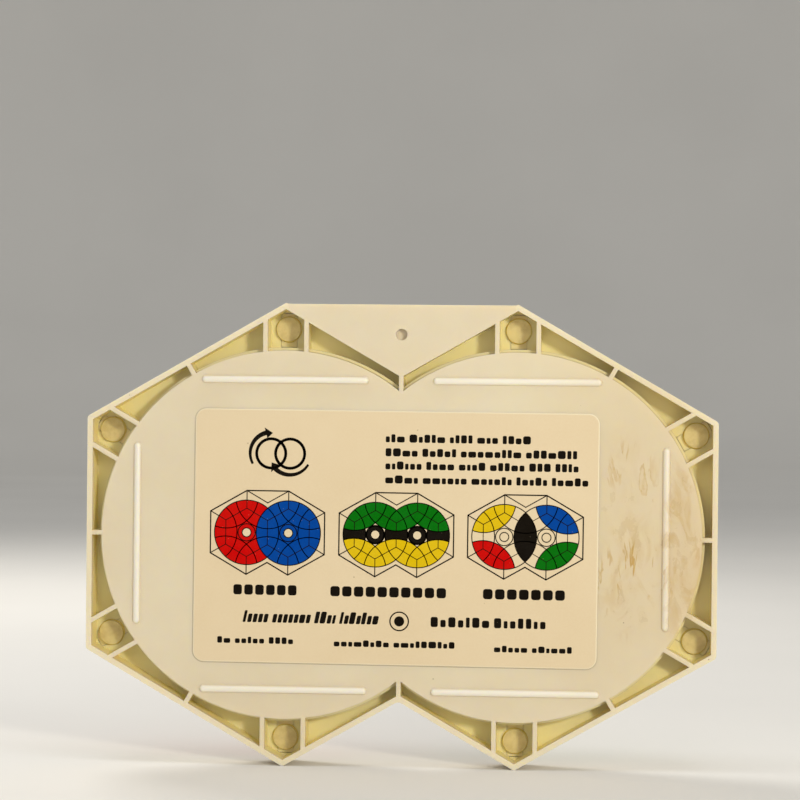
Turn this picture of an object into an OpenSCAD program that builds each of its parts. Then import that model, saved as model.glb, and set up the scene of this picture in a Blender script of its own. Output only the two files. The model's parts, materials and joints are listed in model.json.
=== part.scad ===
// Two-disc sliding tile puzzle, standing upright on its two bottom corners.
// The tile face looks along +Y and the ribbed back looks along -Y. Units are millimetres.
//
// Every part is drawn lying down in a work frame: x to the right and y up as seen from the back,
// z rising from the front face at 0 to the back. stand() then turns the work frame upright.

/* [Case] */
// distance between the two disc axes, and the side of each hexagon of the outline
axis_gap = 73; // [60:0.5:90]
// depth from the front face to the back rim
case_t = 15; // [13:0.5:20]
// thickness of the outer wall
wall_t = 1.7; // [1:0.05:3]
// thickness of the ribs between the pockets
rib_t = 1.4; // [1:0.05:3]
// depth of the pocket floors below the back rim
pocket_depth = 10; // [6:0.5:11]
// how far the two upright outer sides lie inside the regular hexagons
side_trim = 0.45; // [0:0.05:2]
// rounding of the four side corners
side_corner_r = 1.4; // [0.4:0.1:4]
// rounding of the two bottom corners
foot_corner_r = 0.9; // [0.4:0.1:4]
// rounding in the notch between the two bottom corners
notch_r = 2; // [0.5:0.1:5]
// how far the straight top edge lies below the two peaks
crown_drop = 0.3; // [0.1:0.1:2]

/* [Pan] */
// radius of each round pan on the back
pan_r = 58; // [52:0.5:60]
// thickness of the pan plate
pan_t = 1.6; // [1:0.1:3]
// how far the pan's wall steps outward deep in the pockets
pan_step = 1; // [0.5:0.1:2]
// depth of that step below the back rim
step_depth = 3.4; // [2:0.2:6]
// thickness of the pan's wall
pan_wall_t = 1.55; // [1:0.05:3]

/* [Corner pockets] */
// clear width between the two ribs of a corner pocket
corner_gap = 11.55; // [8:0.05:16]
// distance of a corner post from its disc axis
post_reach = 64.8; // [60:0.1:68]
// radius of a corner post
post_r = 3.8; // [2:0.1:5]
// height of a corner post above the pocket floor
post_rise = 1.4; // [0.5:0.1:5]
// gap between a post and its hole in the floor
post_gap = 0.2; // [0.05:0.05:0.5]
// width of the slot through the post hole
slot_w = 5.2; // [2:0.1:7]
// reach of the slot outward from the post centre
slot_reach = 5.2; // [4:0.1:6]

/* [Back details] */
// width of a raised bar
bar_w = 2.5; // [1:0.1:4]
// height of a raised bar above the pan
bar_rise = 1; // [0.4:0.1:2]
// length of a level bar
level_bar_len = 53; // [20:1:60]
// height of the level bars above and below the axes
level_bar_off = 48.8; // [42:0.1:52]
// length of an upright bar
upright_bar_len = 57.4; // [20:0.2:64]
// distance of an upright bar outward from its disc axis
upright_bar_off = 46.7; // [42:0.1:52]
// radius of the blind hole under the top edge
hang_hole_r = 1.825; // [1:0.025:3]
// depth of the blind hole
hang_hole_depth = 2.5; // [2:0.5:10]
// height of the blind hole above the axes
hang_hole_up = 63.3; // [58:0.1:67]
// width of the rear label
label_w = 126.6; // [60:0.2:128]
// height of the rear label
label_h = 79.3; // [40:0.1:82]
// corner radius of the rear label
label_r = 3.2; // [1:0.1:8]
// thickness of the rear label
label_t = 0.15; // [0.1:0.05:0.3]
// shift of the label to the left, as it was put on
label_left = 1.4; // [0:0.1:3]
// shift of the label downward, as it was put on
label_down = 0.6; // [0:0.1:2]
// turn of the label, as it was put on
label_turn = -0.26; // [-1:0.02:1]

/* [Tiles] */
// radius of the circle that each disc's tiles fill
disc_r = 56.2; // [50:0.1:58]
// running gap between neighbouring tiles
tile_gap = 0.25; // [0.1:0.05:0.5]
// width of the flange round a tile's bulging edges
flange_w = 1; // [0.6:0.1:2]
// thickness of that flange
flange_t = 2; // [1:0.1:3]
// thickness of the front frame's plate, under whose lip the flanges run
frame_t = 3.4; // [2:0.1:5]
// gap in depth above and below the moving tiles
slide_gap = 0.2; // [0.1:0.05:0.4]
// thickness of a tile's face
tile_face_t = 1.8; // [1:0.1:3]
// thickness of a tile's side walls
tile_wall_t = 1.4; // [0.8:0.1:2]
// thickness of a sticker
sticker_t = 0.3; // [0.1:0.05:0.4]
// margin between a sticker and the edge of its tile
sticker_margin = 0.8; // [0.3:0.1:2]

/* [Hubs] */
// radius of the boss that a hub turns on
boss_r = 5; // [3:0.1:6]
// radial running gap between boss and hub
boss_gap = 0.1; // [0.05:0.01:0.1]
// radius of the cap over the screw
cap_r = 7.7; // [6:0.1:9]
// thickness of the cap
cap_t = 1.2; // [0.8:0.1:2]
// radius of the screw head
screw_head_r = 3.4; // [2:0.1:4]
// thickness of the screw head
screw_head_t = 1.3; // [0.8:0.1:1.6]
// radius of the screw's shoulder
screw_shoulder_r = 1.75; // [1.2:0.05:2.5]
// radius of the screw's shank
screw_shank_r = 1.25; // [0.8:0.05:1.6]
// length of the screw's shank in the boss
screw_shank_len = 7; // [4:0.5:8]
// outer radius of the hub ring sticker
ring_r = 15; // [12:0.1:16]
// thickness of the web that the screw clamps
web_t = 1.2; // [0.8:0.1:1.6]
// clearance round the screw head
head_gap = 0.8; // [0.3:0.1:1.2]

/* [Front grooves] */
// width of the shallow grooves on the front face
groove_w = 0.5; // [0.3:0.05:1]
// depth of the shallow grooves
groove_t = 0.3; // [0.1:0.05:0.6]

/* [Hidden] */
$fn = 96;
// a cut reaches this far past a face, so that no skin is left
cut = 1;
// the tooth that a union needs where one piece of a moulding grows out of another
bite = 0.4;
half_gap = axis_gap / 2;
// directions of a disc's corners, and of the middles of its outer edges
corner_turns = [90, 150, 210, 270];
edge_turns = [120, 180, 240];
total_t = case_t + bar_rise;
// a 120 degree corner with radius r is this many radii shorter than the sharp corner
corner_loss = 1 / sin(60) - 1;
axis_h = axis_gap - foot_corner_r * corner_loss;
notch_y = axis_gap - half_gap * tan(30);
// an upright outer side: its distance from the disc axis, and the height of its corners
side_x = axis_gap * cos(30) - side_trim;
side_y = axis_gap - side_x * tan(30);
inset_r = axis_gap - wall_t / cos(30);
floor_z = case_t - pocket_depth;
pan_z = case_t - pan_t;
step_z = case_t - step_depth;
crown_y = axis_gap - crown_drop;

// edges of the tiles: bulging edges end at edge_r and at flange_r,
// hollow edges are cut at clear_r and under_r
edge_r = disc_r - tile_gap / 2;
clear_r = disc_r + tile_gap / 2;
flange_r = disc_r + flange_w;
under_r = flange_r + tile_gap;
face_z = sticker_t;
flange_z = frame_t + slide_gap;
tile_back_z = pan_z - slide_gap;
hollow_z = face_z + tile_face_t;

// hub stack, from the front: cap, screw head, web, boss
cap_back_z = face_z + cap_t;
head_z = cap_back_z + slide_gap / 2;
head_back_z = head_z + screw_head_t;
web_z = head_back_z + slide_gap / 2;
web_back_z = web_z + web_t;
boss_z = web_back_z + slide_gap;
well_r = screw_head_r + head_gap;
web_r = cap_r + tile_wall_t;
sleeve_r = boss_r + boss_gap;

ivory = [0.89, 0.83, 0.70];
label_colour = [0.87, 0.79, 0.64];
steel = [0.62, 0.62, 0.60];
yellow = [0.93, 0.74, 0.13];
red = [0.72, 0.13, 0.10];
blue = [0.10, 0.24, 0.56];
green = [0.08, 0.43, 0.23];
black = [0.06, 0.06, 0.06];

// ---------- placing ----------

// turns the work frame upright
module stand() {
  translate([0, total_t / 2, axis_h]) rotate([90, 0, 0]) children();
}

// a plate between two heights of the work frame
module slab(z0, z1) {
  translate([0, 0, z0]) linear_extrude(z1 - z0) children();
}

module at_left() {
  translate([-half_gap, 0]) children();
}

module both_sides() {
  children();
  mirror([1, 0, 0]) children();
}

// a child drawn along +x of the left disc, once for each direction, and again on the right disc
module round_both(turns) {
  both_sides() at_left() for (turn = turns) rotate(turn) children();
}

// ---------- outlines ----------

// a regular hexagon with corners at radius r, cut straight at distance x on its left
module hexagon(r, x) {
  y = r - x * tan(30);
  right_x = r * cos(30);
  polygon([[0, r], [-x, y], [-x, -y], [0, -r], [right_x, -r / 2], [right_x, r / 2]]);
}

// what a rounding of radius r leaves out of a 120 degree corner at the origin that opens towards -x
module corner_bit(r) {
  centre = -r / sin(60);
  tangent = [-r / tan(60) / 2, r / 2];
  difference() {
    polygon([
      [centre, 0],
      tangent,
      [cut, tangent.y],
      [cut, -tangent.y],
      [tangent.x, -tangent.y]
    ]);
    translate([centre, 0]) circle(r);
  }
}

// the triangle between the two peaks: its top edge lies at height top
module crown(top) {
  reach = half_gap - (axis_gap - top) / tan(30);
  polygon([[-reach, top], [reach, top], [0, notch_y]]);
}

module case_outline() {
  difference() {
    union() {
      both_sides() at_left() hexagon(axis_gap, side_x);
      crown(crown_y);
      translate([0, -notch_y]) rotate(90) corner_bit(notch_r);
    }
    both_sides() at_left() for (side = [-1, 1])
      translate([-side_x, side * side_y]) rotate(180 - side * 30) corner_bit(side_corner_r);
    round_both([270]) translate([axis_gap, 0]) corner_bit(foot_corner_r);
  }
}

module inside_walls() {
  both_sides() at_left() hexagon(inset_r, side_x - wall_t);
}

// both discs' circles together
module two_discs(r) {
  both_sides() at_left() circle(r);
}

module two_rings(r_in, r_out) {
  difference() {
    two_discs(r_out);
    two_discs(r_in);
  }
}

// ribs beside the corners, at the middles of the edges, and on the centre line
module rib_lines() {
  rib_off = (corner_gap + rib_t) / 2;
  rib_len = axis_gap - disc_r;
  round_both(corner_turns) for (side = [-1, 1])
    translate([disc_r, side * rib_off - rib_t / 2]) square([rib_len, rib_t]);
  round_both(edge_turns) translate([disc_r, -rib_t / 2]) square([rib_len / 2, rib_t]);
  square([rib_t, 2 * (notch_y - wall_t / 2)], center = true);
}

module ribs() {
  intersection() {
    rib_lines();
    difference() {
      inside_walls();
      two_discs(pan_r - bite);
    }
  }
}

module keyhole() {
  slot_len = post_reach + slot_reach - pan_r;
  translate([post_reach, 0]) circle(post_r + post_gap);
  translate([pan_r, -slot_w / 2]) square([slot_len, slot_w]);
}

// ---------- back shell ----------

module pocket_floor() {
  difference() {
    inside_walls();
    two_discs(under_r);
    round_both(corner_turns) keyhole();
  }
}

// a bar with round ends, along x, sunk so that it stands bar_rise above the pan
module bar(len) {
  r = bar_w / 2;
  reach = len / 2 - r;
  translate([0, 0, case_t + bar_rise - r]) {
    translate([-reach, 0, 0]) rotate([0, 90, 0]) cylinder(h = 2 * reach, r = r);
    for (side = [-1, 1]) translate([side * reach, 0, 0]) sphere(r);
  }
}

module bars() {
  both_sides() at_left() {
    for (side = [-1, 1]) translate([0, side * level_bar_off, 0]) bar(level_bar_len);
    translate([-upright_bar_off, 0, 0]) rotate([0, 0, 90]) bar(upright_bar_len);
  }
}

// the boss that a hub turns on, with the pilot hole for its screw
module boss() {
  difference() {
    slab(boss_z, pan_z + bite) circle(boss_r);
    slab(boss_z - cut, boss_z + screw_shank_len + slide_gap) circle(screw_shank_r);
  }
}

module shell_walls() {
  slab(frame_t, case_t) difference() {
    case_outline();
    inside_walls();
  }
  slab(frame_t, floor_z) pocket_floor();
  slab(frame_t, step_z) two_rings(under_r, pan_r + pan_step);
  slab(step_z - pan_t, case_t) two_rings(pan_r - pan_wall_t, pan_r);
  slab(pan_z, case_t) two_discs(pan_r - bite);
  slab(floor_z - bite, case_t) ribs();
}

// the hollow behind the triangular plate, with a post left in it for the blind hole
module crown_hollow() {
  slab(frame_t - cut, case_t - pan_t) difference() {
    crown(crown_y - wall_t);
    translate([0, hang_hole_up]) circle(hang_hole_r + pan_t);
  }
}

module back_shell() {
  color(ivory) stand() {
    difference() {
      union() {
        shell_walls();
        bars();
      }
      crown_hollow();
      slab(case_t - hang_hole_depth, case_t + cut)
        translate([0, hang_hole_up]) circle(hang_hole_r);
    }
    both_sides() at_left() boss();
  }
}

// ---------- front frame ----------

// shallow grooves from the corners to the discs, and along the lower edges of the crown
module grooves() {
  round_both(corner_turns) translate([disc_r, -groove_w / 2]) square([axis_gap, groove_w]);
  both_sides() at_left() rotate(30)
    translate([inset_r * cos(30) + wall_t - groove_w / 2, 0]) square([groove_w, half_gap]);
}

module post() {
  wing_w = slot_w - post_gap;
  wing_len = post_reach + slot_reach - pan_r - pan_step - 2 * post_gap;
  slab(frame_t - bite, floor_z + post_rise) translate([post_reach, 0]) circle(post_r);
  slab(frame_t - bite, floor_z - post_gap)
    translate([pan_r + pan_step + post_gap, -wing_w / 2]) square([wing_len, wing_w]);
}

module front_frame() {
  color(ivory) stand() {
    difference() {
      slab(0, frame_t) difference() {
        case_outline();
        two_discs(clear_r);
      }
      slab(-cut, groove_t) grooves();
    }
    round_both(corner_turns) post();
  }
}

// ---------- rear label ----------

module rear_label() {
  reach = [label_w / 2 - label_r, label_h / 2 - label_r];
  color(label_colour) stand() translate([-label_left, -label_down]) rotate(label_turn)
    slab(case_t, case_t + label_t) {
      square([label_w, 2 * reach.y], center = true);
      square([2 * reach.x, label_h], center = true);
      for (x = [-1, 1], y = [-1, 1])
        translate([x * reach.x, y * reach.y]) circle(label_r);
    }
}

// ---------- tiles ----------

// the three-sided tile between directions 0 and 60, bounded by three circles of radius edge
module stone(edge) {
  intersection() {
    circle(edge);
    translate([axis_gap, 0]) circle(edge);
    rotate(60) translate([axis_gap, 0]) circle(edge);
  }
}

// the waisted tile in direction 0: its ends end at edge, its hollow sides are cut at radius side_r
module bone(edge, side_r) {
  difference() {
    intersection() {
      circle(edge);
      translate([axis_gap, 0]) circle(edge);
    }
    for (turn = [-60, 60]) rotate(turn) translate([axis_gap, 0]) circle(side_r);
  }
}

module tile_shape(kind, edge, side_r) {
  if (kind == "stone") stone(edge);
  else bone(edge, side_r);
}

// a tile is a box open at the back, with a flange round its bulging edges
module tile(kind) {
  difference() {
    union() {
      slab(face_z, frame_t) tile_shape(kind, edge_r, clear_r);
      slab(frame_t, tile_back_z) tile_shape(kind, edge_r, under_r);
      slab(flange_z, flange_z + flange_t) tile_shape(kind, flange_r, under_r);
    }
    slab(hollow_z, tile_back_z + cut)
      tile_shape(kind, edge_r - tile_wall_t, under_r + tile_wall_t);
  }
}

module sticker(kind) {
  slab(0, sticker_t) tile_shape(kind, edge_r - sticker_margin, clear_r + sticker_margin);
}

module left_place(turn) {
  stand() at_left() rotate(turn) children();
}

module right_place(turn) {
  stand() mirror([1, 0, 0]) at_left() rotate(turn) children();
}

// ---------- hubs ----------

// the hub's outline: what six neighbouring circles of radius side_r leave
module hub_shape(side_r) {
  difference() {
    circle(axis_gap / 3);
    for (k = [0:5]) rotate(60 * k) translate([axis_gap, 0]) circle(side_r);
  }
}

module hub() {
  difference() {
    union() {
      slab(face_z, frame_t) hub_shape(clear_r);
      slab(frame_t, tile_back_z) hub_shape(under_r);
    }
    slab(hollow_z, tile_back_z + cut) difference() {
      hub_shape(under_r + tile_wall_t);
      circle(web_r);
    }
    slab(web_back_z, tile_back_z + cut) difference() {
      circle(web_r + bite);
      circle(sleeve_r + tile_wall_t);
    }
    slab(web_back_z, tile_back_z + cut) circle(sleeve_r);
    slab(cap_back_z, web_z) circle(well_r);
    slab(face_z - cut, cap_back_z) circle(cap_r);
    slab(web_z - cut, web_back_z + cut) circle(screw_shoulder_r + slide_gap);
  }
}

module hub_ring() {
  slab(0, sticker_t) difference() {
    circle(ring_r);
    circle(cap_r + sticker_margin);
  }
}

module hub_cap() {
  slab(face_z, cap_back_z) circle(cap_r);
}

module screw() {
  slab(head_z, head_back_z) circle(screw_head_r);
  slab(head_back_z - bite, boss_z) circle(screw_shoulder_r);
  slab(boss_z - bite, boss_z + screw_shank_len) circle(screw_shank_r);
}

// ---------- the separate pieces ----------

module left_hub() {
  color(ivory) left_place(0) hub();
}

module left_hub_ring() {
  color(black) left_place(0) hub_ring();
}

module left_hub_cap() {
  color(ivory) left_place(0) hub_cap();
}

module left_screw() {
  color(steel) left_place(0) screw();
}

module right_hub() {
  color(ivory) right_place(0) hub();
}

module right_hub_ring() {
  color(black) right_place(0) hub_ring();
}

module right_hub_cap() {
  color(ivory) right_place(0) hub_cap();
}

module right_screw() {
  color(steel) right_place(0) screw();
}

module left_stone_1() {
  color(ivory) left_place(60) tile("stone");
}

module left_stone_1_sticker() {
  color(yellow) left_place(60) sticker("stone");
}

module left_stone_2() {
  color(ivory) left_place(120) tile("stone");
}

module left_stone_2_sticker() {
  color(yellow) left_place(120) sticker("stone");
}

module left_stone_3() {
  color(ivory) left_place(180) tile("stone");
}

module left_stone_3_sticker() {
  color(red) left_place(180) sticker("stone");
}

module left_stone_4() {
  color(ivory) left_place(240) tile("stone");
}

module left_stone_4_sticker() {
  color(red) left_place(240) sticker("stone");
}

module left_bone_1() {
  color(ivory) left_place(60) tile("bone");
}

module left_bone_2() {
  color(ivory) left_place(120) tile("bone");
}

module left_bone_2_sticker() {
  color(yellow) left_place(120) sticker("bone");
}

module left_bone_3() {
  color(ivory) left_place(180) tile("bone");
}

module left_bone_4() {
  color(ivory) left_place(240) tile("bone");
}

module left_bone_4_sticker() {
  color(red) left_place(240) sticker("bone");
}

module left_bone_5() {
  color(ivory) left_place(300) tile("bone");
}

module right_stone_1() {
  color(ivory) right_place(60) tile("stone");
}

module right_stone_1_sticker() {
  color(blue) right_place(60) sticker("stone");
}

module right_stone_2() {
  color(ivory) right_place(120) tile("stone");
}

module right_stone_2_sticker() {
  color(blue) right_place(120) sticker("stone");
}

module right_stone_3() {
  color(ivory) right_place(180) tile("stone");
}

module right_stone_3_sticker() {
  color(green) right_place(180) sticker("stone");
}

module right_stone_4() {
  color(ivory) right_place(240) tile("stone");
}

module right_stone_4_sticker() {
  color(green) right_place(240) sticker("stone");
}

module right_bone_1() {
  color(ivory) right_place(60) tile("bone");
}

module right_bone_2() {
  color(ivory) right_place(120) tile("bone");
}

module right_bone_2_sticker() {
  color(blue) right_place(120) sticker("bone");
}

module right_bone_3() {
  color(ivory) right_place(180) tile("bone");
}

module right_bone_4() {
  color(ivory) right_place(240) tile("bone");
}

module right_bone_4_sticker() {
  color(green) right_place(240) sticker("bone");
}

module right_bone_5() {
  color(ivory) right_place(300) tile("bone");
}

module shared_stone_upper() {
  color(ivory) left_place(0) tile("stone");
}

module shared_stone_upper_sticker() {
  color(black) left_place(0) sticker("stone");
}

module shared_stone_lower() {
  color(ivory) left_place(300) tile("stone");
}

module shared_stone_lower_sticker() {
  color(black) left_place(300) sticker("stone");
}

module shared_bone() {
  color(ivory) left_place(0) tile("bone");
}

module shared_bone_sticker() {
  color(black) left_place(0) sticker("bone");
}

// ---------- drawing ----------

back_shell();
front_frame();
rear_label();
left_hub();
left_hub_ring();
left_hub_cap();
left_screw();
right_hub();
right_hub_ring();
right_hub_cap();
right_screw();
left_stone_1();
left_stone_1_sticker();
left_stone_2();
left_stone_2_sticker();
left_stone_3();
left_stone_3_sticker();
left_stone_4();
left_stone_4_sticker();
left_bone_1();
left_bone_2();
left_bone_2_sticker();
left_bone_3();
left_bone_4();
left_bone_4_sticker();
left_bone_5();
right_stone_1();
right_stone_1_sticker();
right_stone_2();
right_stone_2_sticker();
right_stone_3();
right_stone_3_sticker();
right_stone_4();
right_stone_4_sticker();
right_bone_1();
right_bone_2();
right_bone_2_sticker();
right_bone_3();
right_bone_4();
right_bone_4_sticker();
right_bone_5();
shared_stone_upper();
shared_stone_upper_sticker();
shared_stone_lower();
shared_stone_lower_sticker();
shared_bone();
shared_bone_sticker();
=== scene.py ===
"""The looks of a flat two-disc tile puzzle, standing with its ribbed back towards the camera."""

import json
import math
import random
from functools import partialmethod

import bpy
from mathutils import Matrix, Vector


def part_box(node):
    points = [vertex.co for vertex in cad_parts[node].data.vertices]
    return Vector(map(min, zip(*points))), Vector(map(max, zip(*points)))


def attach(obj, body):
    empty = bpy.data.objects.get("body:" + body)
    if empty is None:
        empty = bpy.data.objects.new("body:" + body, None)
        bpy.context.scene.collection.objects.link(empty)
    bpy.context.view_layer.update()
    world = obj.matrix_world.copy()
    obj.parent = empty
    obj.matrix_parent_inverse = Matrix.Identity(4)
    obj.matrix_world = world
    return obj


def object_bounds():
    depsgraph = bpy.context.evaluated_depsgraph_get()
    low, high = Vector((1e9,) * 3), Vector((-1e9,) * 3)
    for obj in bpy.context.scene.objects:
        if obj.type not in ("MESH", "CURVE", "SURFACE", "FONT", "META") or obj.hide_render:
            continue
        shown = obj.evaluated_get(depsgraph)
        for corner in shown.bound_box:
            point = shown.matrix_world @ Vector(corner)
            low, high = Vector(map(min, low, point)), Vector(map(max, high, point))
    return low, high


MM = 0.001

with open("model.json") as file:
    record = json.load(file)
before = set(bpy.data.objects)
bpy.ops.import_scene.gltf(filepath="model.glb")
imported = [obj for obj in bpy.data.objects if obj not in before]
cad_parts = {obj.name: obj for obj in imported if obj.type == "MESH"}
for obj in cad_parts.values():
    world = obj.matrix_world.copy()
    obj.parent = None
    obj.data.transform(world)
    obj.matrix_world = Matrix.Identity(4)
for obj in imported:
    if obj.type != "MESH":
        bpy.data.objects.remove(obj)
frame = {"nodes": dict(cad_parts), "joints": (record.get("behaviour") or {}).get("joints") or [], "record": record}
NODES = frame["nodes"]
cad_low, cad_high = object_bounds()

# ---------------------------------------------------------------- places read from the CAD model

joints = {joint["name"]: joint for joint in frame["joints"]}
LEFT_AXIS = Vector(joints["left_turn"]["pos_m"])
RIGHT_AXIS = Vector(joints["right_turn"]["pos_m"])
MIDDLE = (LEFT_AXIS + RIGHT_AXIS) / 2
HALF_GAP = (RIGHT_AXIS - LEFT_AXIS).length / 2
label_low, label_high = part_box("rear_label")
LABEL_CENTRE = (label_low + label_high) / 2
PAN_Y = label_high.y
INK_Y = label_low.y - 0.02 * MM
FLOOR_Y = PAN_Y + 10 * MM
FACE_Y = cad_high.y
SEAM_Y = FACE_Y - 3.4 * MM
WALL_REACH = HALF_GAP * math.sqrt(3)
RIM_W = 2.0 * MM
PAN_R = 58 * MM
POST_REACH = 64.8 * MM
POST_R = 3.8 * MM
FINE_LINE = 0.5 * MM

# the label's size and corner radius are in millimetres, like everything that is printed on it
LABEL_W, LABEL_H, LABEL_R = 126.6, 79.3, 3.2
LABEL_TURN = math.radians(-0.26)


def toward(degrees, length=1.0):
    """A flat vector of that length, degrees anticlockwise from the right."""
    return Vector((math.cos(math.radians(degrees)), math.sin(math.radians(degrees)))) * length


# ---------------------------------------------------------------- materials

class Nodes:
    """A material's node tree, with short names for adding and joining nodes."""

    def __init__(self, name):
        self.material = bpy.data.materials.new(name)
        self.material.use_nodes = True
        self.tree = self.material.node_tree
        self.tree.nodes.clear()
        self.shader = self.add("ShaderNodeBsdfPrincipled")
        out = self.add("ShaderNodeOutputMaterial")
        self.join(self.shader.outputs[0], out.inputs["Surface"])
        self.place = self.add("ShaderNodeTexCoord").outputs["Object"]

    def add(self, kind, **settings):
        node = self.tree.nodes.new(kind)
        for key, value in settings.items():
            setattr(node, key, value)
        return node

    def join(self, source, target):
        self.tree.links.new(source, target)

    def put(self, socket, value):
        if isinstance(value, bpy.types.NodeSocket):
            self.join(value, socket)
        else:
            socket.default_value = value

    def settle(self, **values):
        """Sets the shader's constant inputs: Specular_IOR_Level=0.3 sets the input of that name."""
        for key, value in values.items():
            self.shader.inputs[key.replace("_", " ")].default_value = value

    def noise(self, scale, detail=4.0, roughness=0.55, place=None, distortion=0.0):
        node = self.add("ShaderNodeTexNoise")
        node.inputs["Scale"].default_value = scale
        node.inputs["Detail"].default_value = detail
        node.inputs["Roughness"].default_value = roughness
        node.inputs["Distortion"].default_value = distortion
        self.join(place or self.place, node.inputs["Vector"])
        return node.outputs["Fac"]

    def moved(self, scale, turn=(0, 0, 0)):
        """Stretched and turned places, for a noise that is drawn out one way."""
        node = self.add("ShaderNodeMapping")
        node.inputs["Scale"].default_value = scale
        node.inputs["Rotation"].default_value = turn
        self.join(self.place, node.inputs["Vector"])
        return node.outputs[0]

    def span(self, value, low, high, to_low=0.0, to_high=1.0):
        """Goes smoothly from to_low to to_high as value goes from low to high."""
        node = self.add("ShaderNodeMapRange", interpolation_type="SMOOTHSTEP")
        self.put(node.inputs["Value"], value)
        for key, number in (("From Min", low), ("From Max", high), ("To Min", to_low), ("To Max", to_high)):
            node.inputs[key].default_value = number
        return node.outputs[0]

    def calculate(self, operation, a, b=0.0):
        node = self.add("ShaderNodeMath", operation=operation)
        self.put(node.inputs[0], a)
        self.put(node.inputs[1], b)
        return node.outputs[0]

    plus = partialmethod(calculate, "ADD")
    minus = partialmethod(calculate, "SUBTRACT")
    times = partialmethod(calculate, "MULTIPLY")
    over = partialmethod(calculate, "DIVIDE")
    above = partialmethod(calculate, "GREATER_THAN")
    below = partialmethod(calculate, "LESS_THAN")
    larger = partialmethod(calculate, "MAXIMUM")
    smaller = partialmethod(calculate, "MINIMUM")
    unsigned = partialmethod(calculate, "ABSOLUTE")
    root = partialmethod(calculate, "SQRT")

    def length(self, x, z):
        """How long the flat vector x, z is."""
        return self.root(self.plus(self.times(x, x), self.times(z, z)))

    def mix(self, factor, a, b):
        node = self.add("ShaderNodeMix", data_type="RGBA")
        self.put(node.inputs["Factor"], factor)
        self.put(node.inputs["A"], (*a, 1.0) if isinstance(a, tuple) else a)
        self.put(node.inputs["B"], (*b, 1.0) if isinstance(b, tuple) else b)
        return node.outputs["Result"]

    def axis(self, letter):
        node = self.add("ShaderNodeSeparateXYZ")
        self.join(self.place, node.inputs[0])
        return node.outputs[letter]

    def from_axis(self):
        """At the nearer disc axis: the distance from its nearest corner line, and that towards a side."""
        out = self.minus(self.unsigned(self.axis("X")), HALF_GAP)
        up = self.times(self.minus(self.axis("Z"), MIDDLE.z), math.sqrt(0.75))
        half = self.times(out, 0.5)
        a = self.unsigned(out)
        b = self.unsigned(self.plus(half, up))
        c = self.unsigned(self.minus(half, up))
        nearest = self.smaller(a, self.smaller(b, c))
        farthest = self.larger(a, self.larger(b, c))
        return nearest, farthest

    def tile_lines(self):
        """1 on the fine lines of the tile side: a hexagon round each axis, and its corners' lines outward."""
        nearest, farthest = self.from_axis()
        past = self.minus(farthest, HALF_GAP)
        spoke = self.times(self.above(past, 0.0), self.below(nearest, FINE_LINE / 2))
        ring = self.below(self.unsigned(past), FINE_LINE / 2)
        return self.larger(spoke, ring)

    def in_pocket(self):
        """1 deep in the pockets of the back, where the painted glow of bounced light goes; 0 on the rim, on the
        outer walls and on the front face.
        """
        inside = self.below(self.from_axis()[1], WALL_REACH - RIM_W / 2)
        sunk = self.span(self.axis("Y"), PAN_Y + 0.3 * MM, PAN_Y + 5 * MM)
        front = self.span(self.axis("Y"), FLOOR_Y + 2 * MM, FLOOR_Y + 3 * MM, 1.0, 0.0)
        return self.times(inside, self.times(sunk, front))

    def on_rim(self):
        """1 on the narrow rim of the outer walls, which a painted sheen makes paler than the pan."""
        inward = self.minus(WALL_REACH - RIM_W / 2, self.from_axis()[1])
        band = self.below(self.unsigned(inward), 1.1 * MM)
        between_axes = self.below(self.unsigned(self.axis("X")), HALF_GAP - 0.8 * MM)
        plate = self.times(between_axes, self.above(self.axis("Z"), MIDDLE.z))
        band = self.times(band, self.minus(1.0, plate))
        shallow = self.span(self.axis("Y"), PAN_Y + 0.4 * MM, PAN_Y + 1.5 * MM, 1.0, 0.0)
        return self.times(band, shallow)

    def far_from(self, out, up):
        """The distance from a point that repeats in all four quarters: out past an axis, up from both."""
        x = self.minus(self.unsigned(self.axis("X")), HALF_GAP + out)
        z = self.minus(self.unsigned(self.minus(self.axis("Z"), MIDDLE.z)), up)
        return self.length(x, z)

    def ledge_shade_lines(self):
        """1 on the two fine lines of painted shade in the ledge that runs round the pan."""
        past = self.minus(self.far_from(0.0, 0.0), PAN_R + 0.55 * MM)
        near = self.unsigned(self.minus(self.unsigned(past), 0.5 * MM))
        line = self.span(near, 0.03 * MM, 0.22 * MM, 1.0, 0.0)
        below_pan = self.span(self.axis("Y"), PAN_Y + 2.2 * MM, PAN_Y + 3.2 * MM)
        above_floor = self.span(self.axis("Y"), PAN_Y + 3.8 * MM, PAN_Y + 5.0 * MM, 1.0, 0.0)
        return self.times(line, self.times(below_pan, above_floor))

    def on_post(self):
        """1 on the tops of the eight posts that close the moulding's corners."""
        out, up = toward(30, POST_REACH)
        near = self.smaller(self.far_from(0.0, POST_REACH), self.far_from(out, up))
        raised = self.below(self.axis("Y"), FLOOR_Y - 0.9 * MM)
        return self.times(self.below(near, POST_R + 0.05 * MM), raised)

    def patch(self, centre, reach):
        """1 at the middle of an ellipsoid, falling softly to 0 at its surface."""
        node = self.add("ShaderNodeMapping", vector_type="TEXTURE")
        node.inputs["Location"].default_value = centre
        node.inputs["Scale"].default_value = reach
        self.join(self.place, node.inputs["Vector"])
        length = self.add("ShaderNodeVectorMath", operation="LENGTH")
        self.join(node.outputs[0], length.inputs[0])
        return self.span(length.outputs["Value"], 0.45, 1.0, 1.0, 0.0)

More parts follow.
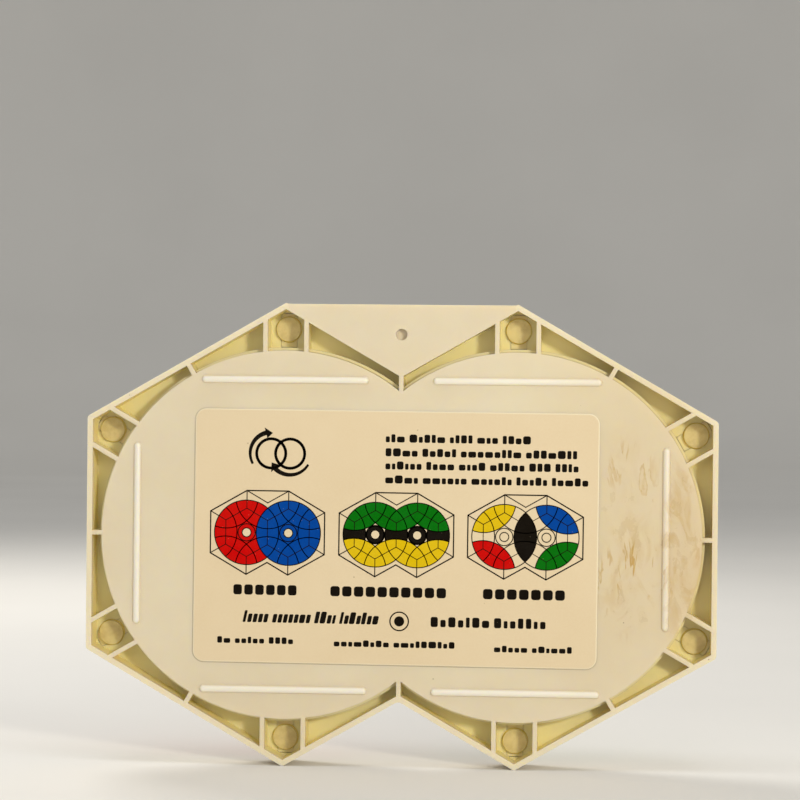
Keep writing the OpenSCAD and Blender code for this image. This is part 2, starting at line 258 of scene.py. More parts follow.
    def specks(self, scale, chance, size=0.25):
        """1 in small scattered spots, 0 elsewhere: chance is the share of cells that hold one."""
        node = self.add("ShaderNodeTexVoronoi")
        node.inputs["Scale"].default_value = scale
        self.join(self.place, node.inputs["Vector"])
        near = self.span(node.outputs["Distance"], size * 0.5, size, 1.0, 0.0)
        split = self.add("ShaderNodeSeparateColor")
        self.join(node.outputs["Color"], split.inputs[0])
        held = self.below(split.outputs[0], chance)
        return self.times(near, held)

    def bump(self, *layers):
        """layers are (height, distance in metres, strength)."""
        normal = None
        for height, distance, strength in layers:
            node = self.add("ShaderNodeBump")
            node.inputs["Strength"].default_value = strength
            node.inputs["Distance"].default_value = distance
            self.put(node.inputs["Height"], height)
            if normal is not None:
                self.join(normal, node.inputs["Normal"])
            normal = node.outputs[0]
        self.join(normal, self.shader.inputs["Normal"])


def handling_stain(n):
    """Dried brownish smears, drawn out up and down, on both sides of the right-hand upright bar, and a broad faint
    warm darkening over the right part of the pan.
    """
    right = RIGHT_AXIS.x
    low = n.patch((right + 36 * MM, PAN_Y, MIDDLE.z - 12 * MM), (14 * MM, 30 * MM, 22 * MM))
    high = n.patch((right + 35 * MM, PAN_Y, MIDDLE.z + 16 * MM), (12 * MM, 30 * MM, 22 * MM))
    outer = n.patch((right + 52 * MM, PAN_Y, MIDDLE.z - 3 * MM), (9 * MM, 30 * MM, 36 * MM))
    cloud = n.span(n.noise(1, 4, 0.6, place=n.moved(scale=(130, 40, 75)), distortion=1.4), 0.44, 0.66)
    drawn = n.noise(1, 3, 0.55, place=n.moved(scale=(210, 40, 42), turn=(0, -0.22, 0)), distortion=1.5)
    stroke = n.times(n.span(drawn, 0.53, 0.56), n.span(drawn, 0.57, 0.66, 1.0, 0.25))
    stroke = n.times(stroke, n.span(n.noise(60, 2, 0.5), 0.46, 0.60))
    smear = n.plus(n.times(cloud, 0.24), n.times(stroke, 0.80))
    smear = n.times(smear, n.plus(low, n.times(high, 0.45)))
    film = n.times(outer, n.plus(0.12, n.times(cloud, 0.34)))
    # a broad faint warm darkening over the right part of the pan, round the smears
    broad = n.patch((right + 34 * MM, PAN_Y, MIDDLE.z + 6 * MM), (44 * MM, 30 * MM, 74 * MM))
    return n.plus(n.plus(smear, film), n.times(broad, 0.16))


def label_edge_shadow(n):
    """1 on the fine line of painted shadow that the label's left and lower edges cast on the pan."""
    label = n.add("ShaderNodeMapping", vector_type="TEXTURE")
    label.inputs["Location"].default_value = LABEL_CENTRE
    label.inputs["Rotation"].default_value = (0, -LABEL_TURN, 0)
    n.join(n.place, label.inputs["Vector"])
    split = n.add("ShaderNodeSeparateXYZ")
    n.join(label.outputs[0], split.inputs[0])
    across, up = split.outputs["X"], split.outputs["Z"]
    half_w, half_h, r = LABEL_W / 2 * MM, LABEL_H / 2 * MM, LABEL_R * MM
    x = n.larger(n.minus(n.unsigned(across), half_w - r), 0.0)
    z = n.larger(n.minus(n.unsigned(up), half_h - r), 0.0)
    past = n.unsigned(n.minus(n.length(x, z), r + 0.40 * MM))
    line = n.span(past, 0.05 * MM, 0.30 * MM, 1.0, 0.0)
    where = n.plus(n.over(across, half_w), n.over(up, half_h))
    return n.times(line, n.span(where, -0.3, 0.4, 1.0, 0.0))


# painted highlight on the raised bars, and painted sheen on the rim
PAINTED_BAR_HIGHLIGHT, PAINTED_RIM_SHEEN = (0.86, 0.83, 0.79), (0.80, 0.73, 0.57)
# the post tops' own mottle, darkened further as painted shade
POST_MOTTLE_AND_SHADE = (0.48, 0.37, 0.14)
STAIN = (0.52, 0.34, 0.11)
# painted shade: in the ledge's two fine lines, along the label's left and lower edges, and in the seam between
# shell and frame
PAINTED_LEDGE_SHADE, PAINTED_LABEL_SHADOW, PAINTED_SEAM_SHADE = (0.30, 0.22, 0.07), (0.30, 0.22, 0.10), (0.30, 0.22, 0.11)
SPECK, LINE_DIRT = (0.20, 0.13, 0.05), (0.10, 0.07, 0.04)


def aged_plastic(name, base, deep, pale, stained=False, lined=False):
    """Old cream moulding: mottled, with specks, scratches and an uneven rubbed gloss, and stains if stained;
    painted light gives it a yellow glow in its pockets, a highlight on its bars, a sheen on its rim, and shade on
    its post tops, in its ledge, along the label's left and lower edges and in its seam.
    """
    n = Nodes(name)
    colour = n.mix(n.span(n.noise(22, 5, 0.6), 0.35, 0.7), base, pale)
    colour = n.mix(n.span(n.noise(9, 3, 0.5), 0.45, 0.75, 0.0, 0.16), colour, deep)
    # painted light: the pockets take the deep tone, a painted glow of light bounced between their yellow walls
    colour = n.mix(n.times(n.in_pocket(), 0.9), colour, deep)
    # painted highlight: the raised bars are whitened where the overhead light would glint on them
    raised = n.span(n.axis("Y"), PAN_Y - 0.9 * MM, PAN_Y - 0.3 * MM, 0.7, 0.0)
    colour = n.mix(raised, colour, PAINTED_BAR_HIGHLIGHT)
    # painted sheen on the rim
    colour = n.mix(n.times(n.on_rim(), 0.4), colour, PAINTED_RIM_SHEEN)
    # painted shade on the post tops, over their own mottle
    post_mottle_and_shade = n.times(n.on_post(), n.span(n.noise(260, 4, 0.6), 0.3, 0.7, 0.45, 0.8))
    colour = n.mix(post_mottle_and_shade, colour, POST_MOTTLE_AND_SHADE)
    # painted shade in the ledge's two fine lines
    colour = n.mix(n.times(n.ledge_shade_lines(), 0.6), colour, PAINTED_LEDGE_SHADE)
    rub = n.span(n.noise(60, 6, 0.7), 0.35, 0.7, 0.32, 0.46)
    if stained:
        stain = handling_stain(n)
        colour = n.mix(stain, colour, STAIN)
        # painted shadow along the label's left and lower edges
        colour = n.mix(n.times(label_edge_shadow(n), 0.55), colour, PAINTED_LABEL_SHADOW)
        rub = n.minus(rub, n.times(stain, 0.25))
    colour = n.mix(n.times(n.specks(640, 0.006, 0.16), 0.75), colour, SPECK)
    # painted shade in the seam between shell and frame
    seam = n.span(n.unsigned(n.minus(n.axis("Y"), SEAM_Y)), 0.08 * MM, 0.34 * MM, 0.6, 0.0)
    colour = n.mix(seam, colour, PAINTED_SEAM_SHADE)
    scratch = n.span(n.noise(1, 3, 0.6, place=n.moved(scale=(90, 90, 2200), turn=(0, 0.5, 0))), 0.62, 0.70)
    layers = [(n.noise(70, 2, 0.5), 0.10 * MM, 0.3),
              (scratch, 0.01 * MM, 0.2),
              (n.noise(2400, 3, 0.5), 0.006 * MM, 0.2)]
    if stained:
        layers.append((stain, 0.08 * MM, 0.6))
    if lined:
        line = n.times(n.tile_lines(), n.above(n.axis("Y"), FACE_Y - 0.5 * MM))
        colour = n.mix(n.times(line, 0.8), colour, LINE_DIRT)
        layers.append((n.minus(1.0, line), 0.1 * MM, 0.5))
    n.join(colour, n.shader.inputs["Base Color"])
    n.join(rub, n.shader.inputs["Roughness"])
    n.bump(*layers)
    n.settle(IOR=1.52, Specular_IOR_Level=0.5, Subsurface_Weight=0.5,
             Subsurface_Radius=(1.0, 0.78, 0.25), Subsurface_Scale=4 * MM)
    return n.material


def label_film(name, pale=0.0):
    """Satin film with a warm tone, a fine grain and a few rubbed spots."""
    n = Nodes(name)
    colour = n.mix(n.span(n.noise(30, 4, 0.6), 0.3, 0.7), (0.694, 0.564, 0.373), (0.716, 0.590, 0.401))
    colour = n.mix(n.span(n.noise(1400, 2, 0.5), 0.35, 0.65, 0.0, 0.22), colour, (0.73, 0.625, 0.45))
    # pale whitens the film all over; on the label's edge that is a painted highlight
    colour = n.mix(pale, colour, (0.80, 0.71, 0.53))
    colour = n.mix(n.times(n.specks(560, 0.008, 0.18), 0.6), colour, (0.30, 0.20, 0.10))
    n.join(colour, n.shader.inputs["Base Color"])
    n.join(n.span(n.noise(45, 5, 0.7), 0.3, 0.7, 0.38, 0.50), n.shader.inputs["Roughness"])
    n.settle(Specular_IOR_Level=0.4)
    n.bump((n.noise(55, 2, 0.5), 0.05 * MM, 0.3), (n.noise(1800, 2, 0.5), 0.006 * MM, 0.3))
    return n.material


def ink(name, colour, worn):
    """Printed ink: a slight change of tone and of gloss, with tiny pinholes in the solid areas."""
    n = Nodes(name)
    shade = n.mix(n.span(n.noise(160, 4, 0.6), 0.3, 0.7, 0.0, 0.6), colour, worn)
    shade = n.mix(n.times(n.specks(2200, 0.012, 0.25), 0.3), shade, (0.66, 0.55, 0.36))
    n.join(shade, n.shader.inputs["Base Color"])
    n.join(n.span(n.noise(300, 3, 0.6), 0.3, 0.7, 0.55, 0.68), n.shader.inputs["Roughness"])
    n.settle(Specular_IOR_Level=0.02)
    n.bump((n.noise(1500, 2, 0.5), 0.004 * MM, 0.3))
    return n.material


def vinyl(name, colour, worn):
    """A tile sticker: glossy film with the tile's fine lines, finger wear, scratches and orange-peel."""
    n = Nodes(name)
    shade = n.mix(n.span(n.noise(55, 5, 0.65), 0.35, 0.75), colour, worn)
    scratch = n.noise(1, 3, 0.6, place=n.moved(scale=(2400, 90, 110), turn=(0, 0.7, 0)))
    marks = n.span(scratch, 0.66, 0.72, 0.0, 0.3)
    shade = n.mix(marks, shade, tuple(min(1.0, 0.35 + 0.7 * c) for c in colour))
    line = n.tile_lines()
    dark = (0.35, 0.33, 0.30) if max(colour) < 0.1 else (0.02, 0.016, 0.012)
    shade = n.mix(n.times(line, 0.85), shade, dark)
    n.join(shade, n.shader.inputs["Base Color"])
    n.join(n.span(n.noise(70, 5, 0.7), 0.3, 0.75, 0.20, 0.44), n.shader.inputs["Roughness"])
    n.bump((n.noise(320, 2, 0.5), 0.02 * MM, 0.25), (marks, 0.01 * MM, 0.4),
           (n.minus(1.0, line), 0.08 * MM, 0.5))
    return n.material


def plated_steel(name):
    """Zinc-plated screw steel."""
    n = Nodes(name)
    tone = n.span(n.noise(900, 4, 0.6), 0.3, 0.7)
    n.join(n.mix(tone, (0.46, 0.45, 0.42), (0.60, 0.59, 0.56)), n.shader.inputs["Base Color"])
    n.join(n.span(n.noise(700, 4, 0.6), 0.3, 0.7, 0.25, 0.45), n.shader.inputs["Roughness"])
    n.settle(Metallic=1.0)
    n.bump((n.noise(2500, 2, 0.5), 0.01 * MM, 0.3))
    return n.material


def studio_paint(name, colour):
    """Matt backdrop paper, with a faint change of tone."""
    n = Nodes(name)
    tone = n.span(n.noise(3, 3, 0.5), 0.3, 0.7)
    n.join(n.mix(tone, colour, tuple(0.96 * c for c in colour)), n.shader.inputs["Base Color"])
    n.join(n.span(n.noise(8, 3, 0.5), 0.3, 0.7, 0.75, 0.9), n.shader.inputs["Roughness"])
    n.bump((n.noise(900, 3, 0.5), 0.05 * MM, 0.15))
    return n.material


CREAM = (0.705, 0.608, 0.448)
PALE = (0.735, 0.645, 0.492)
# the mottle's deeper tone, and the colour of the painted glow in the pockets
DEEP_TONE_AND_POCKET_GLOW = (0.925, 0.805, 0.395)
MATERIALS = {
    "ivory_shell": aged_plastic("shell_plastic", CREAM, DEEP_TONE_AND_POCKET_GLOW, PALE, stained=True),
    "ivory_frame": aged_plastic("frame_plastic", CREAM, DEEP_TONE_AND_POCKET_GLOW, PALE),
    "ivory_tile": aged_plastic("tile_plastic", (0.72, 0.63, 0.47), DEEP_TONE_AND_POCKET_GLOW, (0.75, 0.67, 0.52), lined=True),
    "label_card": label_film("label_film"),
    "steel": plated_steel("screw_steel"),
    "black_sticker": vinyl("vinyl_black", (0.012, 0.012, 0.013), (0.030, 0.029, 0.028)),
    "yellow_sticker": vinyl("vinyl_yellow", (0.80, 0.54, 0.01), (0.84, 0.60, 0.05)),
    "red_sticker": vinyl("vinyl_red", (0.58, 0.010, 0.008), (0.64, 0.04, 0.03)),
    "blue_sticker": vinyl("vinyl_blue", (0.004, 0.06, 0.38), (0.015, 0.09, 0.44)),
    "green_sticker": vinyl("vinyl_green", (0.003, 0.17, 0.010), (0.012, 0.22, 0.03)),
}
INKS = {
    "black": ink("ink_black", (0.007, 0.005, 0.003), (0.011, 0.009, 0.007)),
    "white": ink("ink_white", (0.71, 0.59, 0.41), (0.73, 0.62, 0.43)),
    "yellow": ink("ink_yellow", (0.66, 0.46, 0.004), (0.68, 0.49, 0.018)),
    "red": ink("ink_red", (0.53, 0.002, 0.002), (0.55, 0.009, 0.005)),
    "blue": ink("ink_blue", (0.001, 0.053, 0.317), (0.004, 0.065, 0.34)),
    "green": ink("ink_green", (0.002, 0.139, 0.003), (0.005, 0.156, 0.009)),
}

slot_of = {p["node"]: p["material_slot"] for p in frame["record"]["subparts"]}


# ---------------------------------------------------------------- finish of the CAD nodes

def weld_group():
    """Geometry nodes that weld a CAD mesh and smooth its curved faces, with its real edges kept sharp."""
    group = bpy.data.node_groups.new("weld_and_smooth", "GeometryNodeTree")
    group.interface.new_socket("Geometry", in_out="INPUT", socket_type="NodeSocketGeometry")
    group.interface.new_socket("Geometry", in_out="OUTPUT", socket_type="NodeSocketGeometry")
    add, join = group.nodes.new, group.links.new
    start, end = add("NodeGroupInput"), add("NodeGroupOutput")
    weld = add("GeometryNodeMergeByDistance")
    weld.inputs["Distance"].default_value = 0.002 * MM
    faces = add("GeometryNodeSetShadeSmooth")
    edges = add("GeometryNodeSetShadeSmooth")
    edges.domain = "EDGE"
    angle = add("GeometryNodeInputMeshEdgeAngle")
    compare = add("FunctionNodeCompare")
    compare.operation = "LESS_THAN"
    compare.inputs["B"].default_value = math.radians(25)
    join(start.outputs[0], weld.inputs["Geometry"])
    join(weld.outputs[0], faces.inputs["Geometry"])
    join(faces.outputs[0], edges.inputs["Geometry"])
    join(angle.outputs["Unsigned Angle"], compare.inputs["A"])
    join(compare.outputs[0], edges.inputs["Shade Smooth"])
    join(edges.outputs[0], end.inputs[0])
    return group


WELD = weld_group()
EDGE_ROUND = {"back_shell": 0.30, "front_frame": 0.30, "rear_label": 0.10}


def finish_node(name, node):
    """Gives a CAD node its material, smooth curved faces and slightly rounded edges."""
    for slot in node.material_slots:
        slot.material = MATERIALS[slot_of[name]]
    normals = node.data.attributes.get("custom_normal")
    if normals:
        node.data.attributes.remove(normals)
    node.modifiers.new("weld", "NODES").node_group = WELD
    default = 0.05 if name.endswith(("sticker", "ring")) else 0.2
    bevel = node.modifiers.new("edges", "BEVEL")
    bevel.width = EDGE_ROUND.get(name, default) * MM
    bevel.segments = 3
    bevel.limit_method = "ANGLE"
    bevel.angle_limit = math.radians(40)
    bevel.use_clamp_overlap = True
    bevel.harden_normals = True


for name, node in NODES.items():
    finish_node(name, node)


# ---------------------------------------------------------------- small pieces that the CAD model leaves out

def piece(name, verts, faces, material, smooth=True):
    """A mesh piece that belongs to the case."""
    mesh = bpy.data.meshes.new(name)
    mesh.from_pydata(verts, [], faces)
    for polygon in mesh.polygons:
        polygon.use_smooth = smooth
    mesh.materials.append(material)
    made = bpy.data.objects.new(name, mesh)
    bpy.context.collection.objects.link(made)
    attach(made, "case")


def band_faces(rows, around, rolled=False):
    """Faces between rows of points that run all the way round; rolled joins the last row to the first too."""
    faces = []
    for row in range(rows if rolled else rows - 1):
        low, high = row * around, (row + 1) % rows * around
        for k in range(around):
            after = (k + 1) % around
            faces.append((low + k, low + after, high + after, high + k))
    return faces


def on_label(point, y):
    """The place in the scene of a point on the label, in millimetres from its centre."""
    cos, sin = math.cos(LABEL_TURN), math.sin(LABEL_TURN)
    return (LABEL_CENTRE.x + (point.x * cos - point.y * sin) * MM, y,
            LABEL_CENTRE.z + (point.x * sin + point.y * cos) * MM)


def label_edge():
    """The rolled-down edge of the label: a narrow slope from its face to the pan, all the way round."""
    corners = ((1, 1, 0), (-1, 1, 90), (-1, -1, 180), (1, -1, 270))
    loops = [(-0.10, label_low.y - 0.004 * MM), (0.06, label_low.y + 0.01 * MM), (0.26, PAN_Y - 0.006 * MM)]
    verts = []
    for out, y in loops:
        for sx, sy, start in corners:
            centre = Vector((sx * (LABEL_W / 2 - LABEL_R), sy * (LABEL_H / 2 - LABEL_R)))
            verts += [on_label(centre + toward(start + 10 * k, LABEL_R + out), y) for k in range(10)]
    faces = band_faces(len(loops), len(verts) // len(loops))
    # the edge film is whitened all round, as a painted highlight
    piece("label_edge", verts, faces, label_film("label_edge_film", pale=0.9))


def glue_bead(name, centre, material):
    """A thin uneven bead of glue round a post, at the pocket floor."""
    rng = random.Random(name)
    around, across = 56, 8
    swell = [0.22 + 0.06 * math.sin(2 * math.pi * 3 * k / around) + 0.03 * rng.random()
             for k in range(around)]
    verts = []
    for k in range(around):
        for side in range(across):
            a = 2 * math.pi * side / across
            reach = POST_R + (0.12 + swell[k] * math.cos(a)) * MM
            out = toward(360 * k / around, reach)
            verts.append((centre.x + out.x, FLOOR_Y - swell[k] * 0.7 * math.sin(a) * MM, centre.y + out.y))
    piece(name, verts, band_faces(around, across, rolled=True), material)


def glue(name):
    """Yellowed solvent glue."""
    n = Nodes(name)
    tone = n.span(n.noise(300, 4, 0.6), 0.3, 0.7)
    n.join(n.mix(tone, (0.86, 0.72, 0.26), (0.80, 0.63, 0.17)), n.shader.inputs["Base Color"])
    n.join(n.span(n.noise(500, 3, 0.6), 0.3, 0.7, 0.16, 0.32), n.shader.inputs["Roughness"])
    n.settle(IOR=1.5, Subsurface_Weight=0.3, Subsurface_Radius=(1.0, 0.7, 0.2), Subsurface_Scale=1.0 * MM)
    n.bump((n.noise(700, 3, 0.5), 0.03 * MM, 0.4))
    return n.material


label_edge()
GLUE = glue("glue")
for side, axis in (("left", LEFT_AXIS), ("right", RIGHT_AXIS)):
    for turn in (90, 150, 210, 270):
        out = toward(turn if side == "left" else 180 - turn, POST_REACH)
        glue_bead(f"glue_{side}_{turn}", Vector((axis.x + out.x, axis.z + out.y)), GLUE)


# ---------------------------------------------------------------- the label's print

class Print:
    """Flat shapes on the label, in millimetres from its centre, gathered by ink."""

    def __init__(self):
        self.shapes = {}

    def polygon(self, colour, points, level=0):
        self.shapes.setdefault(colour, []).append(([Vector(p) for p in points], level))

    def line(self, colour, points, width, level=2, closed=False):
        """A line through points, as one thin four-sided shape for each stretch of it."""
        points = [Vector(p) for p in points]
        pairs = list(zip(points, points[1:] + points[:1])) if closed else list(zip(points, points[1:]))
        for a, b in pairs:
            run = b - a
            if run.length < 1e-6:
                continue
            side = Vector((-run.y, run.x)).normalized() * width / 2
            end = run.normalized() * width * 0.3
            self.polygon(colour, [a - side - end, b - side + end, b + side + end, a + side - end], level)

    def bar(self, colour, x, y, width, height, slant=0.0):
        """A word bar with rounded corners; x and y are its left end and its middle."""
        r = min(width, height) * 0.28
        points = []
        for cx, cy, start in ((x + width - r, y + height / 2 - r, 0), (x + r, y + height / 2 - r, 90),
                              (x + r, y - height / 2 + r, 180), (x + width - r, y - height / 2 + r, 270)):
            for k in range(5):
                a = math.radians(start + 22.5 * k)
                px, py = cx + r * math.cos(a), cy + r * math.sin(a)
                points.append((px + slant * (py - y), py))
        self.polygon(colour, points)

    def build(self):
        """One piece for each ink; a shape of a higher level lies a little nearer to the eye."""
        for colour, shapes in self.shapes.items():
            verts, faces = [], []
            for points, level in shapes:
                start = len(verts)
                verts += [on_label(p, INK_Y - level * 0.008 * MM) for p in points]
                faces.append(range(start, len(verts)))
            piece("label_print_" + colour, verts, faces, INKS[colour], smooth=False)


def arc(centre, start, end, steps=10):
    """Points from start to end, the short way round centre."""
    a = math.atan2(*(start - centre).yx)
    b = math.atan2(*(end - centre).yx)
    turn = (b - a + math.pi) % (2 * math.pi) - math.pi
    r = (start - centre).length
    return [centre + Vector((math.cos(a + turn * k / steps), math.sin(a + turn * k / steps))) * r
            for k in range(steps)]


# the tiles of the diagrams, in units of the distance between the two disc axes: the disc's radius, the
# distance of the hub's corners from its axis, and the angle from a bone's middle to its outer corner
DISC = 0.77
INNER = math.cos(math.radians(30)) - math.sqrt(DISC ** 2 - 0.25)
TIP = 60 - math.degrees(math.acos(0.5 / DISC))
HUB_RING, BLACK_HUB, HUB_EYE = 0.206, 0.232, 0.107
ORIGIN = Vector((0, 0))


def stone_points(turn):
    """The three-sided tile between directions turn and turn + 60 of a disc at the origin."""
    inner = toward(turn + 30, INNER)
    low, high = toward(turn + TIP, DISC), toward(turn + 60 - TIP, DISC)
    return (arc(ORIGIN, low, high) + arc(toward(turn), high, inner)
            + arc(toward(turn + 60), inner, low))


def bone_points(turn):
    """The waisted tile in direction turn of a disc at the origin."""
    low, high = toward(turn - TIP, DISC), toward(turn + TIP, DISC)
    left, right = toward(turn + 30, INNER), toward(turn - 30, INNER)
    return (arc(ORIGIN, low, high, 6) + arc(toward(turn + 60), high, left)
            + arc(toward(turn), left, right, 6) + arc(toward(turn - 60), right, low))


def hub_points():
    """The six-sided hub with hollow sides, at the origin."""
    points = []
    for turn in range(0, 360, 60):
        points += arc(toward(turn), toward(turn - 30, INNER), toward(turn + 30, INNER), 6)
    return points


def circle_points(centre, r, steps=28):
    return [centre + toward(360 * k / steps, r) for k in range(steps)]


def diagram(page, x, y, size, colours):
    """The puzzle's tile side, with its middle at x, y and size millimetres between its disc axes.

    colours(side, kind, turn, shared) names the ink of the tile or hub in direction turn, or gives None."""
    def at(points, side):
        sign = 1 if side == "left" else -1
        return [(p.x * sign * size + x - 0.5 * sign * size, p.y * size + y) for p in points]

    thin, bold = 0.31, 0.40
    valley = size * (1 - 0.5 * math.tan(math.radians(30)))
    outline = []
    for side in ("left", "right"):
        outline.append(at([toward(a) for a in (90, 150, 210, 270)], side))
        for a in (90, 150, 210, 270):
            page.line("black", at([toward(a), toward(a, DISC)], side), thin)
        page.line("black", at([toward(90)], side) + [(x, y + valley)], thin)
    page.line("black", outline[0] + [(x, y - valley)] + outline[1][::-1], bold, closed=True)
    for side in ("left", "right"):
        page.polygon("white", at(circle_points(ORIGIN, DISC, 48), side))
        tiles = [("stone", t, stone_points(t)) for t in range(0, 360, 60)]
        tiles += [("bone", t, bone_points(t)) for t in range(0, 360, 60)]
        for kind, turn, points in tiles:
            shared = turn == 0 or (kind == "stone" and turn == 300)
            if shared and side == "right":
                continue
            colour = colours(side, kind, turn, shared)
            if colour:
                page.polygon(colour, at(points, side), 1)
            page.line("black", at(points, side), thin, closed=True)
            if kind == "stone":
                middle = toward(turn + 30, 1 / math.sqrt(3))
                for p in (points[5], points[15], points[25]):
                    page.line("black", at([middle, p], side), thin * 0.8)
            else:
                waist = toward(turn, 0.5)
                across = toward(turn + 90, 0.091)
                page.line("black", at([waist - across, waist + across], side), thin * 0.8)
        hub_colour = colours(side, "hub", 0, False)
        page.polygon("white" if hub_colour in (None, "black") else hub_colour, at(hub_points(), side), 1)
        page.line("black", at(hub_points(), side), thin, closed=True)
        page.line("black", at(circle_points(ORIGIN, HUB_RING), side), thin, closed=True)
        if hub_colour == "black":
            page.polygon("black", at(circle_points(ORIGIN, BLACK_HUB, 40), side), 2)
        page.polygon("white", at(circle_points(ORIGIN, HUB_EYE), side), 3)
        page.line("black", at(circle_points(ORIGIN, HUB_EYE), side), thin, 4, closed=True)


def halves(side, kind, turn, shared):
    """The first pattern: a red disc and a whole blue one."""
    return "blue" if side == "right" or shared else "red"


def bands(side, kind, turn, shared):
    """The second pattern: green above, yellow below and a black band between them."""
    if kind == "hub" or (kind == "bone" and turn in (0, 180)):
        return "black"
    return "green" if turn < 180 else "yellow"


def lenses(side, kind, turn, shared):
    """The third pattern: four coloured lobes and a black middle."""
    if kind == "hub":
        return None
    if shared:
        return "black"
    if kind == "bone" and turn not in (120, 240):
        return None
    if turn in (60, 120):
        return "yellow" if side == "left" else "blue"
    return "red" if side == "left" else "green"


def words(page, rng, x, y, width, height, count, letters, slant=0.0, split=0.5, even=False):
    """A line of plain blocks in word groups that fills width: it stands for lettering and spells nothing."""
    gap = 1.5
    shares = [rng.uniform(0.6, 1.6) for _ in range(count)]
    sizes = [max(2, round(letters * share / sum(shares))) for share in shares]
    blocks = [[1.0 if even else rng.choice((0.7, 1.0, 1.0, 1.35)) for _ in range(size)] for size in sizes]
    room = width - gap * (count - 1) - split * sum(size - 1 for size in sizes)
    unit = room / sum(map(sum, blocks))
    for word in blocks:
        for share in word:
            tall = 1.0 if even else rng.choice((1.0, 1.0, 1.38))
            page.bar("black", x, y + height * (tall - 1) / 2, unit * share, height * tall, slant=slant)
            x += unit * share + split
        x += gap - split


def curved_arrow(page, centre, r, start, end, width):
    """A bold arrow that follows a circle from start to end, growing towards its head."""
    steps = 20
    turn = (end - start) / steps
    edges = []
    for k in range(steps + 1):
        half = width * (0.25 + 0.25 * k / steps)
        edges.append([centre + toward(start + turn * k, r + side * half) for side in (-1, 1)])
    for (a, b), (c, d) in zip(edges, edges[1:]):
        page.polygon("black", [a, b, d, c])
    barb = width * 1.15
    tip = centre + toward(end + math.copysign(19, turn), r * 0.97)
    page.polygon("black", [centre + toward(end, r - barb), centre + toward(end, r + barb), tip])


def turning_sign(page, x, y, r):
    """Two overlapping rings, with an arrow over the left one and an arrow under the right one."""
    for side in (-1, 1):
        page.line("black", circle_points(Vector((x + side * 0.65 * r, y)), r, 40), 0.9, closed=True)
        start = 90 - side * 120
        curved_arrow(page, Vector((x + side * 0.65 * r, y)), r * 1.45, start, start - 105, 1.5)


def draw_label():
    """Everything on the label; places and sizes are in millimetres from its centre."""
    page = Print()
    rng = random.Random(7)
    for x, colours in ((-40.36, halves), (0.3, bands), (40.8, lenses)):
        diagram(page, x, 1.0, 13.2, colours)
    # the names of the three patterns
    for x, width, letters in ((-40.9, 20.0, 6), (-2.0, 36.4, 10), (40.6, 25.6, 7)):
        words(page, rng, x - width / 2, -17.0, width, 3.2, 1, letters, split=0.75, even=True)
    # four lines of directions
    directions = ((31.0, 45.5, 5, 18), (26.6, 60.0, 4, 24), (22.5, 60.5, 6, 26), (18.1, 63.6, 5, 27))
    for y, width, count, letters in directions:
        words(page, rng, -3.4, y, width, 1.85, count, letters)
    # the makers' line, with a plain target between the two names
    words(page, rng, -47.5, -25.9, 42.5, 2.7, 4, 22, slant=0.2, split=0.4)
    target = Vector((1.6, -26.1))
    page.line("black", circle_points(target, 2.9, 36), 0.4, closed=True)
    page.polygon("black", circle_points(target, 1.6, 30))
    words(page, rng, 11.5, -26.5, 36.0, 2.3, 2, 14, split=0.8)
    # small print
    words(page, rng, -55.8, -33.2, 24.0, 1.5, 3, 10)
    words(page, rng, -18.9, -33.6, 38.0, 1.5, 2, 17)
    words(page, rng, 31.5, -34.4, 24.3, 1.5, 2, 11)
    turning_sign(page, -36.5, 26.0, 4.6)
    page.build()


draw_label()


# ---------------------------------------------------------------- studio

def studio_floor():
    """A pale round floor that sweeps up to a low wall all the way round, far from the puzzle."""
    around, bend, flat, wall = 96, 1.0, 2.6, 1.9
    rings = [(0.6, 0.0), (flat, 0.0)]
    for angle in map(math.radians, range(10, 91, 10)):
        rings.append((flat + bend * math.sin(angle), bend * (1 - math.cos(angle))))
    rings.append((flat + bend, wall))
    verts = [(*toward(360 * k / around, reach), height) for reach, height in rings for k in range(around)]
    faces = [tuple(range(around))] + [(a, d, c, b) for a, b, c, d in band_faces(len(rings), around)]
    mesh = bpy.data.meshes.new("studio_floor")
    mesh.from_pydata(verts, [], faces)
    for polygon in mesh.polygons:
        polygon.use_smooth = True
    mesh.materials.append(studio_paint("studio_paper", (0.88, 0.87, 0.85)))
    floor = bpy.data.objects.new("studio_floor", mesh)
    bpy.context.collection.objects.link(floor)


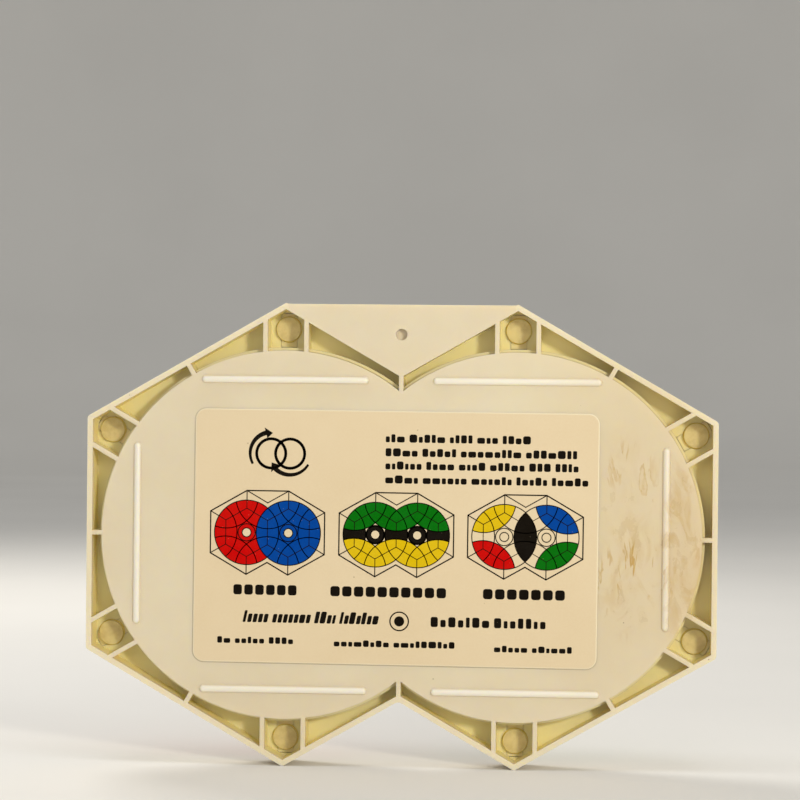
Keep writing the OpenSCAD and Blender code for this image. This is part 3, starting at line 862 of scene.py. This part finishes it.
def soft_light(name, place, width, height, power, colour):
    """A rectangular light that faces the middle of the puzzle, at a place measured from there."""
    data = bpy.data.lights.new(name, "AREA")
    data.shape = "RECTANGLE"
    data.size, data.size_y, data.energy, data.color = width, height, power, colour
    light = bpy.data.objects.new(name, data)
    light.location = MIDDLE + Vector(place)
    light.rotation_mode = "QUATERNION"
    light.rotation_quaternion = (-Vector(place)).to_track_quat("-Z", "Y")
    bpy.context.collection.objects.link(light)


def camera_view(aim, reach, yaw, pitch, roll, lens):
    """A camera reach metres from aim: yaw moves it to the right, pitch looks down, roll tilts it."""
    yaw, pitch, roll = map(math.radians, (yaw, pitch, roll))
    ahead = Vector((-math.sin(yaw) * math.cos(pitch), math.cos(yaw) * math.cos(pitch), -math.sin(pitch)))
    level = Vector((math.cos(yaw), math.sin(yaw), 0.0))
    upward = level.cross(ahead)
    across = level * math.cos(roll) + upward * math.sin(roll)
    above = upward * math.cos(roll) - level * math.sin(roll)
    data = bpy.data.cameras.new("camera")
    data.lens, data.sensor_width = lens, 24.0
    data.clip_start, data.clip_end = 0.01, 20.0
    camera = bpy.data.objects.new("camera", data)
    camera.rotation_mode = "QUATERNION"
    turned = Matrix((across, above, -ahead)).transposed().to_4x4()
    camera.matrix_world = Matrix.Translation(aim - ahead * reach) @ turned
    bpy.context.collection.objects.link(camera)
    bpy.context.scene.camera = camera


def surroundings(colour, strength):
    """Even light from all round."""
    world = bpy.data.worlds.new("studio")
    world.use_nodes = True
    background = world.node_tree.nodes["Background"]
    background.inputs["Color"].default_value = (*colour, 1.0)
    background.inputs["Strength"].default_value = strength
    bpy.context.scene.world = world


studio_floor()
soft_light("key", (0.61, -1.0, 0.28), width=0.15, height=0.15, power=7.1, colour=(1.0, 0.93, 0.77))
soft_light("front", (-0.12, -1.0, 0.35), width=0.6, height=0.45, power=1.15, colour=(1.0, 0.95, 0.84))
soft_light("overhead", (-0.05, -0.20, 1.0), width=0.9, height=0.25, power=2.2, colour=(0.94, 0.96, 1.0))
soft_light("rear", (-0.45, 0.70, 0.65), width=0.5, height=0.4, power=4.6, colour=(1.0, 0.95, 0.86))
surroundings((0.97, 0.96, 0.93), 0.42)
bpy.context.scene.view_settings.view_transform = "Standard"
aim = MIDDLE + Vector((-0.81, 0.0, 42.729)) * MM
camera_view(aim, reach=0.896, yaw=3.96, pitch=0.474, roll=0.55, lens=85.0)
